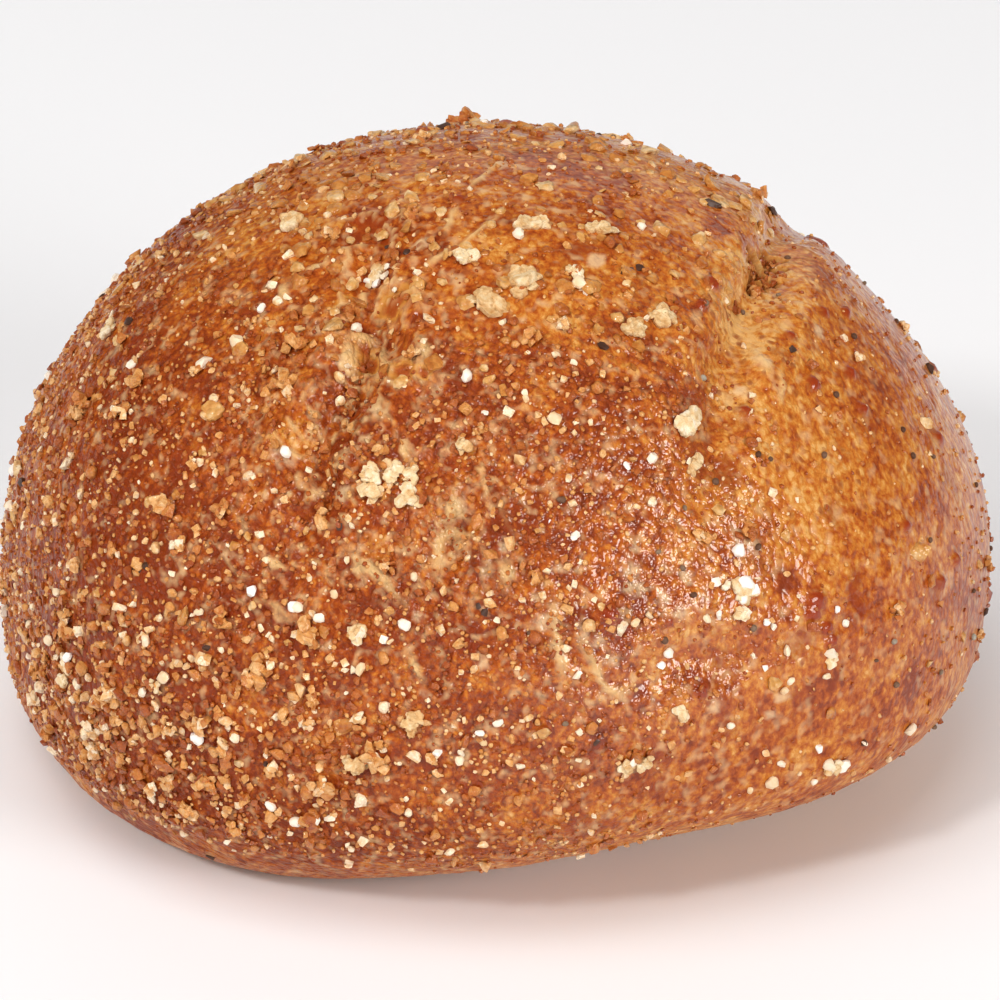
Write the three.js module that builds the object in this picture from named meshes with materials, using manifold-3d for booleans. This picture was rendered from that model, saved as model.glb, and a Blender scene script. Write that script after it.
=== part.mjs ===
// A domed wholegrain bread roll, baked with a coat of cracked grain, oat flakes and seeds.
// The dough is one piece: a round dome on a flat sole, lifted at the front right, with a torn
// seam across its right shoulder and a puckered fold down its left front. The coarse grain that
// sits on the crust is baked fast to it, so the roll and its coat are one solid.
//
// Millimetres, +Z up, +X to the right and -Y to the front. The origin lies on the table, under
// the middle of the roll. Directions on the roll are a longitude and a latitude in degrees, seen
// from its heart at the widest level: longitude 0 is +X and -90 is the front, latitude 90 the top.

import * as THREE from "three";
import { mergeVertices } from "three/addons/utils/BufferGeometryUtils.js";
import Module from "manifold-3d";

const wasm = await Module();
wasm.setup();

// Driving dimensions of the dome
const HALF_WIDTH = 49.1;
const HALF_DEPTH = 43.4;
const DOME_RISE = 45.4; // from the widest level up to the crown
const WIDEST_LEVEL = 18.2; // height of the girth above the table
const MEAN_RADIUS = 46; // turns an angle on the crust into millimetres

// The underside is a squared bowl that the baking tray has cut flat.
const BOWL_DEPTH = 25.7; // how far it would reach below the widest level
const BOWL_SQUARENESS = 3;
const HEEL_LONGITUDE = -64; // where the roll lifts off the table
const HEEL_LIFT = 10.8; // how much shallower the bowl is there
const HEEL_SQUARENESS = 2.4;
const SOLE_ROUNDING = 3.5; // height over which the side turns into the sole
const SOLE_TRIM = 0.8; // slice cut off to make the sole dead flat

// Dough that swelled or sank in the oven: longitude, latitude, spread in degrees, rise in mm
const SWELLS = [
  { at: [-69, 24], spread: 24, rise: 1.0 }, // front right belly
  { at: [-85, 66], spread: 26, rise: 0.7 }, // crown
  { at: [-148, 26], spread: 30, rise: 0.7 }, // left cheek
  { at: [95, 30], spread: 34, rise: 0.8 }, // back
  { at: [141, 50], spread: 20, rise: -1.2 }, // left back shoulder
  { at: [60, 45], spread: 20, rise: -1.3 }, // right back shoulder
  { at: [-165, 5], spread: 20, rise: -1.7 }, // left flank
  { at: [-2, -14], spread: 14, rise: -0.8 }, // right flank, below the girth
];

// Seams and folds, each a line of directions with its depth, half width and raised lips in mm
const CREASES = [
  {
    name: "torn seam",
    line: [[27, 43], [20, 47], [8, 52], [-8, 54], [-26, 53], [-40, 50], [-50, 44], [-58, 36]],
    depth: 2.2,
    halfWidth: 2.5,
    lips: 0.4,
  },
  {
    name: "puckered fold",
    line: [[-133, 70], [-124, 63], [-115, 57], [-116, 49], [-119, 42], [-116, 36], [-119, 27]],
    depth: 1.7,
    halfWidth: 2.0,
    lips: 0.6,
  },
  {
    name: "front pucker",
    line: [[-91, 41], [-95, 35], [-98, 27]],
    depth: 1.0,
    halfWidth: 1.6,
    lips: 0.5,
  },
  {
    name: "belly dimple",
    line: [[-56, 14], [-66, 17], [-74, 14]],
    depth: 0.8,
    halfWidth: 2.4,
    lips: 0.2,
  },
  {
    name: "back fold",
    line: [[74, 62], [88, 52], [98, 43], [96, 33]],
    depth: 1.6,
    halfWidth: 2.2,
    lips: 0.5,
  },
];

// The hand-shaped dough is gently uneven: a few waves run through it.
const UNEVEN_WAVES = 9;
const UNEVEN_HEIGHT = 0.24; // mm, each wave
const UNEVEN_PACE = [4, 10]; // radians of wave for each radius of roll

// The mesh of the dough: an icosphere drawn upwards, as the sole needs few faces
const DOUGH_DETAIL = 14;
const UPWARD_DRAW = 0.3;

// The coarse coat. Grains are spread by the golden angle and thinned by how well each side
// of the roll is covered.
const GOLDEN_ANGLE = 180 * (3 - Math.sqrt(5));
const GRAIN_PLACES = 1200;
const GRAIN_SIZE = [1.6, 2.8]; // mm, longest way
const GRAIN_FLATNESS = [0.55, 0.85]; // height against length
const GRAIN_SUNK = 0.12; // share of the height below the crust
const COAT_LOWEST = -8; // degrees of latitude: the skirt below it is bare
const COAT_BARE = 0.045; // share of places that hold a grain on a bare side
const COAT_PATCHES = [
  { at: [-150, 18], spread: 38, more: 0.1 }, // left side
  { at: [-137, 0], spread: 20, more: 0.9 }, // the thick coat low at the front left
  { at: [-100, 45], spread: 34, more: 0.06 }, // front, up to the crown
  { at: [150, 30], spread: 48, more: 0.07 }, // left back
];

// Flakes and chunks that stand out: longitude, latitude, length, width and height in mm,
// and the turn of the length from the parallel of latitude in degrees
const FLAKES = [
  [-56, 44, 3.9, 2.5, 0.9, 8],
  [-57.5, 39, 2.1, 1.9, 0.8, 40],
  [-91, 63, 4.4, 2.9, 0.9, -12],
  [-81, 65.5, 4.0, 3.6, 1.0, 35],
  [-66, 65, 2.6, 1.3, 1.0, -60],
  [-58.5, 56.5, 2.6, 2.3, 1.1, -50],
  [-51.5, 57, 3.2, 2.2, 0.9, 10],
  [-99.5, 69.5, 3.4, 1.9, 1.0, 48],
  [-126, 65.5, 3.2, 1.8, 1.0, -70],
  [-160.5, 65, 3.4, 2.4, 1.4, 25],
  [-71, 74, 4.4, 2.0, 0.9, 0],
  [-48, 70.5, 3.2, 1.9, 0.9, -18],
  [-109, 40, 2.6, 2.0, 1.3, -20],
  [-105.5, 41, 2.2, 2.0, 1.6, 30],
  [-102.5, 41, 2.4, 1.7, 1.2, 10],
  [-108, 38, 2.4, 2.2, 1.4, 70],
  [-102.5, 38, 3.0, 2.3, 1.4, 35],
  [-94.5, 44.5, 1.8, 1.7, 1.5, 0],
  [-148, 6, 1.9, 1.5, 1.2, 80],
  [-148.5, 3.5, 1.9, 1.6, 1.2, 55],
  [-178, 16, 2.4, 1.6, 1.2, 70],
  [-132, 9.5, 1.7, 1.5, 1.4, 0],
  [-107.5, 21, 2.3, 1.7, 1.3, 75],
  [-55.5, 23, 3.0, 2.4, 1.0, 20],
  [-57, 20.5, 1.6, 1.5, 1.3, 0],
  [-45.5, 11.5, 2.0, 1.3, 1.0, 85],
  [-73.5, 4.5, 2.0, 1.5, 1.3, 15],
  [-71.5, 4.8, 1.9, 1.3, 1.2, 40],
  [-66.5, 10.5, 2.7, 1.4, 0.7, -8],
  [-45, -3, 1.9, 1.7, 1.2, 30],
  [-99.5, 11, 2.5, 2.4, 1.1, 0],
  [-106.5, 5, 2.6, 2.2, 1.4, 60],
  [140, 50, 3.8, 2.6, 0.9, 20],
  [110, 38, 3.2, 2.4, 1.0, -35],
  [60, 58, 3.6, 2.2, 0.9, 60],
  [-170, 40, 2.4, 2.0, 1.3, 10],
  [82, 24, 2.6, 2.0, 1.1, -10],
];

const degrees = THREE.MathUtils.degToRad;

// A repeatable run of draws between 0 and 1
function seededDraws(seed) {
  let state = seed;
  return () => {
    state = (Math.imul(state, 1664525) + 1013904223) >>> 0;
    return state / 2 ** 32;
  };
}

function between([low, high], draw) {
  return low + (high - low) * draw;
}

function directionOf(longitude, latitude) {
  const level = Math.cos(degrees(latitude));
  return new THREE.Vector3(
    level * Math.cos(degrees(longitude)),
    level * Math.sin(degrees(longitude)),
    Math.sin(degrees(latitude)),
  );
}

// A bell over the crust around one direction: 1 at its middle, falling off with the angle
function bellOf(direction, at, spread) {
  const angle = direction.angleTo(directionOf(...at));
  return Math.exp(-((angle / degrees(spread)) ** 2));
}

// How far the bare dome's skin is from the heart of the roll, in one direction
function domeRadius(direction) {
  const { x, y, z } = direction;
  const towardsHeel = direction.dot(directionOf(HEEL_LONGITUDE, 0));
  const heelShare = ((1 + towardsHeel) / 2) ** 2;
  const squareness =
    z < 0 ? THREE.MathUtils.lerp(BOWL_SQUARENESS, HEEL_SQUARENESS, heelShare) : 2;
  const rise = z < 0 ? BOWL_DEPTH - HEEL_LIFT * heelShare : DOME_RISE;
  const across = Math.hypot(x / HALF_WIDTH, y / HALF_DEPTH);
  const upright = Math.abs(z) / rise;
  return (across ** squareness + upright ** squareness) ** (-1 / squareness);
}

// Each crease keeps its line as unit vectors, with the share of the way to each of them.
const creaseLines = CREASES.map((crease) => {
  const points = crease.line.map((at) => directionOf(...at));
  const lengths = points.slice(1).map((point, i) => point.distanceTo(points[i]));
  const whole = lengths.reduce((sum, length) => sum + length, 0);
  const shares = [0];
  lengths.forEach((length) => shares.push(shares.at(-1) + length / whole));
  return { ...crease, points, shares };
});

// The relief of one crease: a groove with lips on both sides that fades out at its ends
function creaseRelief(direction, { points, shares, depth, halfWidth, lips }) {
  let nearest = Infinity;
  let along = 0;
  for (let i = 0; i + 1 < points.length; i++) {
    const run = points[i + 1].clone().sub(points[i]);
    const reach = direction.clone().sub(points[i]).dot(run) / run.lengthSq();
    const part = THREE.MathUtils.clamp(reach, 0, 1);
    const foot = points[i].clone().addScaledVector(run, part).normalize();
    const distance = foot.distanceTo(direction) * MEAN_RADIUS;
    if (distance < nearest) {
      nearest = distance;
      along = THREE.MathUtils.lerp(shares[i], shares[i + 1], part);
    }
  }
  const fade = Math.sin(Math.PI * THREE.MathUtils.clamp(along, 0.02, 0.98)) ** 0.6;
  const groove = Math.exp(-((nearest / halfWidth) ** 2));
  const lip = Math.exp(-(((nearest - 1.9 * halfWidth) / halfWidth) ** 2));
  return fade * (lips * lip - depth * groove);
}

// The waves of the uneven dough, each a direction, a pace and a start
const waveDraw = seededDraws(7);
const waves = Array.from({ length: UNEVEN_WAVES }, () => {
  const heading = directionOf(360 * waveDraw(), 90 - 180 * waveDraw());
  return {
    heading: heading.multiplyScalar(between(UNEVEN_PACE, waveDraw())),
    start: 2 * Math.PI * waveDraw(),
  };
});

function doughRelief(direction) {
  let relief = 0;
  for (const { at, spread, rise } of SWELLS) relief += rise * bellOf(direction, at, spread);
  for (const crease of creaseLines) relief += creaseRelief(direction, crease);
  for (const { heading, start } of waves)
    relief += UNEVEN_HEIGHT * Math.sin(heading.dot(direction) + start);
  return relief;
}

// The crust in one direction, as a point in the part's frame
function crustPoint(direction) {
  const point = direction.clone();
  point.multiplyScalar(domeRadius(direction) + doughRelief(direction));
  const height = point.z + WIDEST_LEVEL;
  const blend = THREE.MathUtils.clamp(height + SOLE_ROUNDING, 0, 2 * SOLE_ROUNDING);
  const rounded = blend ** 2 / (4 * SOLE_ROUNDING) + Math.max(height - SOLE_ROUNDING, 0);
  point.z = rounded - SOLE_TRIM;
  return point;
}

// The crust's outward normal, from two small steps along it
function crustNormal(direction) {
  const step = 0.03;
  const east = new THREE.Vector3(-direction.y, direction.x, 0).normalize();
  const north = direction.clone().cross(east);
  const here = crustPoint(direction);
  const eastward = crustPoint(direction.clone().addScaledVector(east, step).normalize());
  const northward = crustPoint(direction.clone().addScaledVector(north, step).normalize());
  return eastward.sub(here).cross(northward.sub(here)).normalize();
}

function bareGeometry(geometry) {
  geometry.deleteAttribute("normal");
  geometry.deleteAttribute("uv");
  return mergeVertices(geometry);
}

function solidOf(geometry) {
  const bare = bareGeometry(geometry);
  return new wasm.Manifold(
    new wasm.Mesh({
      numProp: 3,
      vertProperties: bare.attributes.position.array,
      triVerts: new Uint32Array(bare.index.array),
    }),
  );
}

function geometryOf(solid) {
  const { vertProperties, triVerts } = solid.getMesh();
  const geometry = new THREE.BufferGeometry();
  geometry.setAttribute("position", new THREE.BufferAttribute(vertProperties, 3));
  geometry.setIndex(new THREE.BufferAttribute(triVerts, 1));
  geometry.computeVertexNormals();
  return geometry;
}

// The dough: an icosphere whose every corner is moved out to the crust, cut flat at the table
function makeDough() {
  const ball = bareGeometry(new THREE.IcosahedronGeometry(1, DOUGH_DETAIL));
  const corners = ball.attributes.position;
  const direction = new THREE.Vector3();
  for (let i = 0; i < corners.count; i++) {
    direction.fromBufferAttribute(corners, i).normalize();
    direction.z += UPWARD_DRAW;
    corners.setXYZ(i, ...crustPoint(direction.normalize()));
  }
  const table = new THREE.BoxGeometry(3 * HALF_WIDTH, 3 * HALF_WIDTH, 10);
  table.translate(0, 0, -5);
  return solidOf(ball).subtract(solidOf(table));
}

// One grain or flake on the crust: a chipped lump of the given length, width and height
function makeGrain({ longitude, latitude, length, width, height, turn, chip }) {
  const lump = bareGeometry(new THREE.IcosahedronGeometry(0.5, 0));
  const corners = lump.attributes.position;
  for (let i = 0; i < corners.count; i++) {
    const chipped = between([0.84, 1.16], (chip * (i + 3) * 7.31) % 1);
    const corner = new THREE.Vector3().fromBufferAttribute(corners, i);
    corner.multiplyScalar(chipped);
    corners.setXYZ(i, corner.x * length, corner.y * width, corner.z * height);
  }
  const direction = directionOf(longitude, latitude);
  const normal = crustNormal(direction);
  const east = new THREE.Vector3(-direction.y, direction.x, 0).normalize();
  const side = normal.clone().cross(east).normalize();
  const seat = new THREE.Matrix4().makeBasis(side.clone().cross(normal), side, normal);
  const centre = crustPoint(direction).addScaledVector(normal, height * (0.5 - GRAIN_SUNK) * 0.5);
  lump.rotateZ(degrees(turn));
  lump.applyMatrix4(seat.setPosition(centre));
  return solidOf(lump);
}

// How well the crust is covered in one direction, from 0 to 1
function coverage(direction) {
  let share = COAT_BARE;
  for (const { at, spread, more } of COAT_PATCHES) share += more * bellOf(direction, at, spread);
  return share;
}

// The grains of the coat, from the crown down to the skirt
function coatGrains() {
  const draw = seededDraws(20);
  const lowest = Math.sin(degrees(COAT_LOWEST));
  const grains = [];
  for (let i = 0; i < GRAIN_PLACES; i++) {
    const latitude = THREE.MathUtils.radToDeg(
      Math.asin(1 - ((i + draw()) / GRAIN_PLACES) * (1 - lowest)),
    );
    const longitude = ((i * GOLDEN_ANGLE + 6 * draw()) % 360) - 180;
    const kept = draw() < coverage(directionOf(longitude, latitude));
    const length = between(GRAIN_SIZE, draw() ** 2);
    const width = length * between([0.65, 1], draw());
    const height = length * between(GRAIN_FLATNESS, draw());
    const turn = 180 * draw();
    const chip = draw();
    if (kept) grains.push({ longitude, latitude, length, width, height, turn, chip });
  }
  return grains;
}

function flakeGrains() {
  return FLAKES.map(([longitude, latitude, length, width, height, turn], i) => {
    const chip = ((i + 1) * 0.618) % 1;
    return { longitude, latitude, length, width, height, turn, chip };
  });
}

function makeRoll() {
  const grains = [...flakeGrains(), ...coatGrains()].map(makeGrain);
  const crust = new THREE.MeshStandardMaterial({ color: 0xb8682f, roughness: 0.5, metalness: 0 });
  const roll = new THREE.Mesh(geometryOf(wasm.Manifold.union([makeDough(), ...grains])), crust);
  roll.name = "bread_roll";
  return roll;
}

const group = new THREE.Group();
group.add(makeRoll());

export default group;
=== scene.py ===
# A glazed wholegrain bread roll with a baked-on coat of cracked grain, oat flakes and seeds.
#
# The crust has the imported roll's own dome, seams and folds, from the same named sizes, and adds
# the fine relief of the skin. The small toppings lie on it, one mesh for each kind.
# Sizes are in millimetres until a mesh is made; directions on the roll are a longitude and a
# latitude in degrees, seen from its heart: longitude -90 is the front and latitude 90 the top.

import math

import bpy
import numpy as np
from mathutils import Matrix, Vector, noise
from mathutils.bvhtree import BVHTree


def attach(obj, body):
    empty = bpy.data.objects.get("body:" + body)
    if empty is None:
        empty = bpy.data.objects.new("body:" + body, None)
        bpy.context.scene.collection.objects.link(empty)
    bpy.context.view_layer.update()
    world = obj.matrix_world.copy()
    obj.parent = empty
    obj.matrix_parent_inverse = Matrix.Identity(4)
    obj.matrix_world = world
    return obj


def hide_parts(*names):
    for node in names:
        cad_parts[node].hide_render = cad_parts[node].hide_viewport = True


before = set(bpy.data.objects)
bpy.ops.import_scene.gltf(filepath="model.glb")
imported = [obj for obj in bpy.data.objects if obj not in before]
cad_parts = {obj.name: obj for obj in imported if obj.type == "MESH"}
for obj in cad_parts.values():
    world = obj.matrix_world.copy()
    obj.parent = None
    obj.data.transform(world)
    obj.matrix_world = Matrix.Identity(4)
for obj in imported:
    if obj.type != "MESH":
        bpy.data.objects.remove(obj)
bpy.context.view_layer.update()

MM = 0.001

# The dome, as in the solid
HALF_WIDTH = 49.1
HALF_DEPTH = 43.4
DOME_RISE = 45.4
WIDEST_LEVEL = 18.2
MEAN_RADIUS = 46
BOWL_DEPTH = 25.7
BOWL_SQUARENESS = 3
HEEL_LONGITUDE = -64
HEEL_LIFT = 10.8
HEEL_SQUARENESS = 2.4
SOLE_ROUNDING = 3.5
SOLE_TRIM = 0.8
HEART = np.array([0, 0, WIDEST_LEVEL - SOLE_TRIM])

# Longitude and latitude, spread in degrees, rise in mm
SWELLS = [
    ((-69, 24), 24, 1),
    ((-85, 66), 26, 0.7),
    ((-148, 26), 30, 0.7),
    ((95, 30), 34, 0.8),
    ((141, 50), 20, -1.2),
    ((60, 45), 20, -1.3),
    ((-165, 5), 20, -1.7),
    ((-2, -14), 14, -0.8),
]

# Seams and folds: line of directions, depth, half width and raised lips in mm
CREASES = {
    "torn seam": (
        [(27, 43), (20, 47), (8, 52), (-8, 54), (-26, 53), (-40, 50), (-50, 44), (-58, 36)], 2.2, 2.5, 0.4
    ),
    "puckered fold": (
        [(-133, 70), (-124, 63), (-115, 57), (-116, 49), (-119, 42), (-116, 36), (-119, 27)], 1.7, 2, 0.6
    ),
    "front pucker": ([(-91, 41), (-95, 35), (-98, 27)], 1, 1.6, 0.5),
    "belly dimple": ([(-56, 14), (-66, 17), (-74, 14)], 0.8, 2.4, 0.2),
    "back fold": ([(74, 62), (88, 52), (98, 43), (96, 33)], 1.6, 2.2, 0.5),
}
UNEVEN_WAVES = 9
UNEVEN_HEIGHT = 0.24
UNEVEN_PACE = (4, 10)
UPWARD_DRAW = 0.3
NORMAL_STEP = 0.03

# The coarse coat, as in the solid
GOLDEN_ANGLE = 180 * (3 - math.sqrt(5))
GRAIN_PLACES = 1200
GRAIN_SIZE = (1.6, 2.8)
GRAIN_FLATNESS = (0.55, 0.85)
GRAIN_SUNK = 0.12
COAT_LOWEST = -8
COAT_BARE = 0.045
COAT_PATCHES = [((-150, 18), 38, 0.1), ((-137, 0), 20, 0.9), ((-100, 45), 34, 0.06), ((150, 30), 48, 0.07)]

# Flakes and chunks that stand out: longitude, latitude, length, width, height, turn
FLAKES = [
    (-56, 44, 3.9, 2.5, 0.9, 8), (-57.5, 39, 2.1, 1.9, 0.8, 40), (-91, 63, 4.4, 2.9, 0.9, -12),
    (-81, 65.5, 4, 3.6, 1, 35), (-66, 65, 2.6, 1.3, 1, -60), (-58.5, 56.5, 2.6, 2.3, 1.1, -50),
    (-51.5, 57, 3.2, 2.2, 0.9, 10), (-99.5, 69.5, 3.4, 1.9, 1, 48), (-126, 65.5, 3.2, 1.8, 1, -70),
    (-160.5, 65, 3.4, 2.4, 1.4, 25), (-71, 74, 4.4, 2, 0.9, 0), (-48, 70.5, 3.2, 1.9, 0.9, -18),
    (-109, 40, 2.6, 2, 1.3, -20), (-105.5, 41, 2.2, 2, 1.6, 30), (-102.5, 41, 2.4, 1.7, 1.2, 10),
    (-108, 38, 2.4, 2.2, 1.4, 70), (-102.5, 38, 3, 2.3, 1.4, 35), (-94.5, 44.5, 1.8, 1.7, 1.5, 0),
    (-148, 6, 1.9, 1.5, 1.2, 80), (-148.5, 3.5, 1.9, 1.6, 1.2, 55), (-178, 16, 2.4, 1.6, 1.2, 70),
    (-132, 9.5, 1.7, 1.5, 1.4, 0), (-107.5, 21, 2.3, 1.7, 1.3, 75), (-55.5, 23, 3, 2.4, 1, 20),
    (-57, 20.5, 1.6, 1.5, 1.3, 0), (-45.5, 11.5, 2, 1.3, 1, 85), (-73.5, 4.5, 2, 1.5, 1.3, 15),
    (-71.5, 4.8, 1.9, 1.3, 1.2, 40), (-66.5, 10.5, 2.7, 1.4, 0.7, -8), (-45, -3, 1.9, 1.7, 1.2, 30),
    (-99.5, 11, 2.5, 2.4, 1.1, 0), (-106.5, 5, 2.6, 2.2, 1.4, 60), (140, 50, 3.8, 2.6, 0.9, 20),
    (110, 38, 3.2, 2.4, 1, -35), (60, 58, 3.6, 2.2, 0.9, 60), (-170, 40, 2.4, 2, 1.3, 10),
    (82, 24, 2.6, 2, 1.1, -10),
]

# How pale each flake is, in the same order
FLAKE_TINTS = [
    0.95, 0.5, 0.5, 0.55, 0.9, 0.45, 0.5, 0.9, 0.7, 0.5, 0.6, 0.5, 0.75, 0.8, 0.75, 0.6, 0.7, 0.6, 0.95, 0.9,
    0.5, 0.7, 0.7, 0.85, 0.8, 0.9, 0.7, 0.65, 0.75, 0.7, 0.3, 0.45, 0.5, 0.6, 0.4, 0.6, 0.5,
]

# The camera stands where the photo was taken from, and a pixel is 1 / 10.2 mm on the roll.
PHOTO_PIXELS = 1000
SENSOR_MM = 36
CAMERA_ELEVATION = 28
CAMERA_DISTANCE = 600
CAMERA_AIM = np.array([0.8, 0, 26.35])
PIXELS_PER_MM = 10.2
FOCAL_PIXELS = PIXELS_PER_MM * CAMERA_DISTANCE

# Details found by their pixel in the photo, each with its size in mm
TEARS = [
    (754, 258, 1.8), (757, 269, 2.4), (759, 281, 2.4), (758, 292, 1.6), (768, 260, 1.8), (773, 271, 1.8),
    (778, 260, 1.5), (771, 282, 1.4), (738, 308, 1),
]
BLISTERS = [
    (817, 243, 2.7), (813, 384, 1.6), (849, 373, 1.3), (845, 312, 1.4), (823, 312, 1.2), (898, 322, 2.2),
    (938, 375, 2.4), (862, 410, 1.2), (712, 285, 1.7), (815, 600, 2), (610, 615, 2), (937, 438, 1.5),
    (788, 338, 1.2), (905, 525, 1.3), (745, 410, 1.1), (955, 560, 1.4), (700, 690, 1.4), (668, 622, 1.2),
    (813, 612, 1.7), (825, 628, 1.5), (832, 640, 1.2), (940, 582, 1.4), (700, 306, 1.1), (457, 200, 1.3),
]
SKIN_POCKETS = [(365, 350, 2.8), (366, 366, 2.8), (401, 369, 3), (424, 374, 2), (394, 302, 3.8)]
VEILED_FLAKES = [
    (283, 455, 2.1), (320, 330, 1.5), (375, 410, 1.2), (632, 570, 2), (635, 587, 1.8), (556, 567, 1.5),
    (664, 600, 1.6), (687, 577, 1.6), (714, 706, 1.7), (770, 715, 1.2), (782, 693, 1.6), (418, 620, 1.3),
    (480, 606, 1.4), (541, 622, 1.9), (557, 652, 1.7), (515, 670, 1.4), (478, 660, 1.4), (345, 495, 1.2),
    (345, 362, 1.3), (735, 535, 1.6), (752, 545, 1.6), (640, 545, 1.3), (598, 640, 1.3), (612, 660, 1.3),
    (583, 628, 1.4), (505, 545, 1.5), (425, 695, 1.2), (700, 600, 1.4), (683, 612, 1.4), (455, 505, 1.7),
    (597, 262, 1.7), (420, 245, 1.5), (820, 330, 1.4), (762, 362, 1.4), (745, 390, 1.3), (505, 165, 2.2),
]
# Where the crust is made browner than around it, and with a minus where it is more golden
# The broad rows at the left and along the lower and right edges are painted shade, on sides turned from the
# lights
TONES = [
    (618, 617, 2.6, 1), (576, 618, 2.2, 1), (586, 650, 2.2, 0.8), (690, 680, 3.6, 0.7),
    (645, 700, 2.6, 0.8), (500, 530, 3, 1), (470, 638, 3.2, 0.9), (506, 655, 2, 1),
    (480, 560, 2.6, 0.8), (565, 545, 2.6, 0.6), (388, 602, 2.4, 0.8), (443, 350, 3, 0.8),
    (530, 155, 4, 0.7), (600, 208, 3, 0.5), (718, 226, 3.2, 0.8), (690, 300, 3, 0.7),
    (912, 680, 3.6, 1), (785, 582, 2.6, 0.8), (455, 372, 2.4, 0.8), (100, 500, 6, 0.4),
    (130, 430, 7, 0.4), (160, 560, 6, 0.5), (880, 390, 3, 0.5), (700, 400, 3.6, 0.6),
    (655, 350, 4, 0.4), (440, 600, 3, 0.4), (340, 450, 2.6, 0.8), (760, 640, 2.4, 0.5),
    (330, 700, 5, 0.4), (600, 760, 5, 0.4), (870, 620, 7, 0.4), (820, 700, 7, 0.5),
    (740, 770, 7, 0.4), (930, 500, 5, 0.4), (110, 640, 7, 0.4), (190, 700, 7, 0.4),
    (750, 335, 5, -0.7), (735, 400, 4, -0.6), (790, 470, 7, -0.3), (800, 545, 6, -0.1),
    (560, 310, 5, -0.5), (480, 245, 5, -0.5), (375, 545, 3.4, -0.6), (400, 660, 3, -0.5),
    (470, 340, 3, -0.5), (300, 440, 4, -0.6), (540, 395, 4, -0.4), (430, 190, 4, -0.4),
    (240, 630, 3, -0.3), (740, 260, 3, -0.4), (420, 500, 3, -0.4), (230, 250, 8, -0.4),
    (170, 320, 7, -0.3), (330, 190, 7, -0.3), (650, 590, 6, 0.5), (735, 545, 5, 0.3),
]
# Thin pale ridges where the skin is drawn up: pixels along each, then half its width in mm
RIDGES = [
    ([(351, 545), (357, 562), (372, 567), (386, 580), (394, 592), (402, 604)], 0.5),
    ([(357, 562), (362, 576)], 0.45),
    ([(436, 577), (437, 560), (440, 542), (448, 533), (459, 533), (463, 548)], 0.65),
    ([(448, 527), (452, 510), (456, 497)], 0.7),
    ([(410, 652), (415, 666), (423, 682)], 0.3),
    ([(503, 560), (507, 575), (505, 588)], 0.7),
    ([(576, 640), (590, 655), (600, 680), (608, 690), (622, 693), (636, 682)], 0.45),
    ([(553, 600), (557, 630), (560, 655), (566, 682)], 0.6),
    ([(352, 343), (350, 360), (353, 378)], 0.5),
    ([(353, 343), (363, 335), (375, 341)], 0.45),
    ([(384, 356), (385, 370), (372, 382)], 0.6),
    ([(421, 340), (426, 352), (426, 362)], 0.5),
    ([(286, 283), (283, 295), (281, 305)], 0.5),
    ([(404, 438), (403, 452), (410, 461)], 0.45),
    ([(502, 162), (482, 178), (464, 192)], 0.28),
    ([(456, 205), (451, 220), (446, 235)], 0.28),
    ([(500, 215), (480, 230), (456, 250)], 0.28),
    ([(425, 266), (440, 258), (452, 249)], 0.28),
    ([(752, 345), (758, 360), (768, 375)], 0.4),
    ([(778, 372), (782, 388), (778, 402)], 0.35),
]
POPPY_SEEDS = [
    (912, 456), (932, 457), (824, 455), (757, 455), (770, 459), (902, 430), (853, 337), (779, 295),
    (703, 378), (703, 307), (743, 312), (715, 482), (693, 595), (682, 568), (658, 552), (685, 508),
    (562, 500), (530, 633), (565, 723), (753, 628), (664, 640), (757, 547), (835, 395), (975, 485),
    (892, 641), (940, 672), (895, 684), (930, 540), (788, 258), (560, 500), (875, 660), (862, 742),
]
BRAN_SPECKS = [
    (130, 323, 1.6), (407, 253, 1.2), (628, 272, 2), (640, 268, 1.4), (602, 347, 1.4), (140, 571, 1.7),
    (210, 647, 1.2), (268, 763, 1), (792, 350, 1.3), (712, 205, 1.8), (212, 855, 1), (485, 612, 1.2),
    (340, 527, 1), (596, 742, 1), (148, 566, 1.3), (388, 247, 0.8), (478, 606, 0.9), (717, 208, 1.2),
]
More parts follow.
